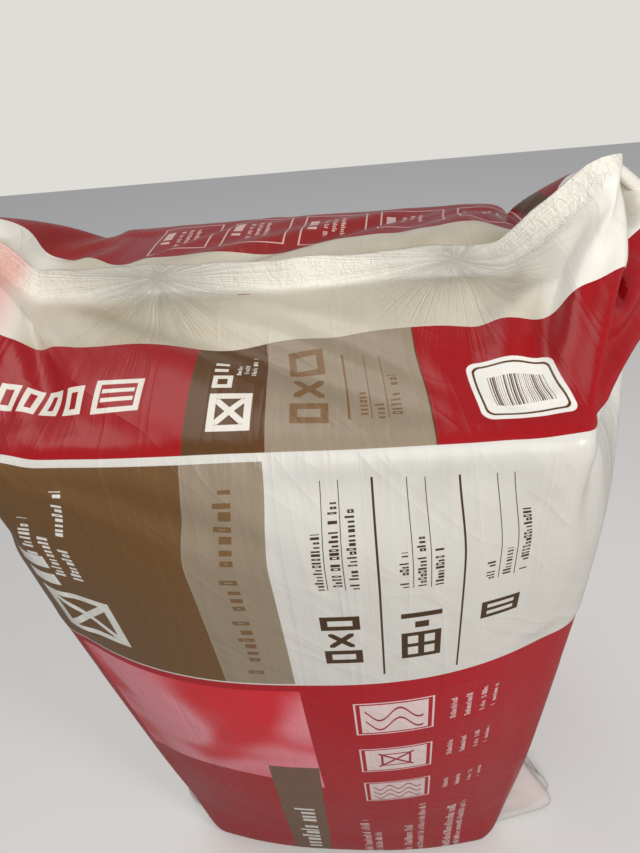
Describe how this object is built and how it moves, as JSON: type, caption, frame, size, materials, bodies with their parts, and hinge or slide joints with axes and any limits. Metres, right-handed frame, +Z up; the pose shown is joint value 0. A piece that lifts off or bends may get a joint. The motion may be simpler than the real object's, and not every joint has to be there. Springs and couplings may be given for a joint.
{
  "type": "insulation batt pack",
  "caption": "Tall block of stone wool batts in a printed film sleeve, welded at its ends, with a fin, and ears at both ends.",
  "frame": {"origin": "on the floor, under the middle of the pack", "axes": "+Z up along the pack, -Y out of the large printed front, X along the weld"},
  "size_m": [0.8708, 0.6122, 1.3682],
  "materials": {
    "printed_film": "glossy",
    "stone_wool": "matte fibrous"
  },
  "bodies": {
    "root": {"film_bag": "printed_film", "batt_1": "stone_wool", "batt_2": "stone_wool", "batt_3": "stone_wool", "batt_4": "stone_wool", "batt_5": "stone_wool", "batt_6": "stone_wool", "batt_7": "stone_wool", "batt_8": "stone_wool"}
  },
  "joints": []
}
